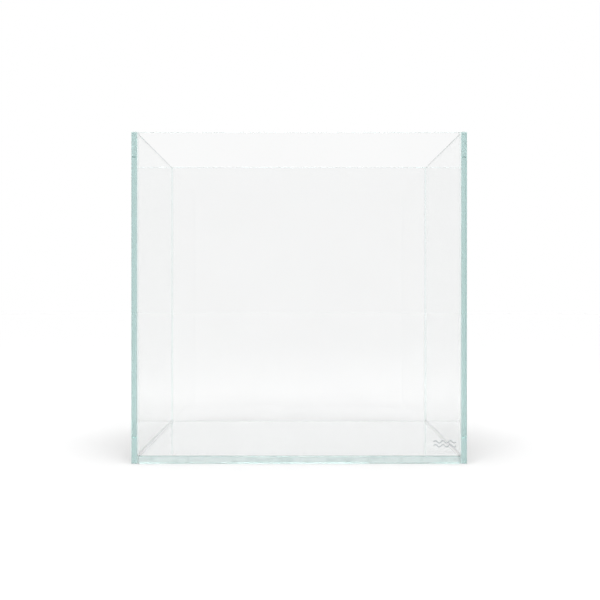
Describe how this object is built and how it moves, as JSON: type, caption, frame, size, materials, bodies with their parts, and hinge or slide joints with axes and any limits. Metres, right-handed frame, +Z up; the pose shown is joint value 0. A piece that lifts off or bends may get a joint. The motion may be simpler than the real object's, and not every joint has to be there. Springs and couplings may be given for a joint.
{
  "type": "glass aquarium tank",
  "caption": "Rimless open-top cube aquarium of polished pale-edged glass panels, butt-bonded and sealed with clear silicone; holds water, gravel, plants and fish.",
  "frame": {"origin": "centre of the underside, at the level of the surface the tank stands on", "axes": "+Z up out of the open top, -Y out through the front panel with the printed mark, +X to the right seen from the front"},
  "size_m": [0.45, 0.4501, 0.445],
  "materials": {
    "glass": "polished",
    "structural_silicone": "clear, cured",
    "sealing_silicone": "clear, tooled smooth",
    "printed_ink": "matt print"
  },
  "bodies": {
    "root": {"base_panel": "glass", "front_panel": "glass", "rear_panel": "glass", "left_panel": "glass", "right_panel": "glass", "base_bond_front": "structural_silicone", "base_bond_rear": "structural_silicone", "base_bond_left": "structural_silicone", "base_bond_right": "structural_silicone", "corner_bond_front_left": "structural_silicone", "corner_bond_front_right": "structural_silicone", "corner_bond_rear_left": "structural_silicone", "corner_bond_rear_right": "structural_silicone", "base_bead_front": "sealing_silicone", "base_bead_rear": "sealing_silicone", "base_bead_left": "sealing_silicone", "base_bead_right": "sealing_silicone", "corner_bead_front_left": "sealing_silicone", "corner_bead_front_right": "sealing_silicone", "corner_bead_rear_left": "sealing_silicone", "corner_bead_rear_right": "sealing_silicone", "printed_mark": "printed_ink"}
  },
  "joints": []
}
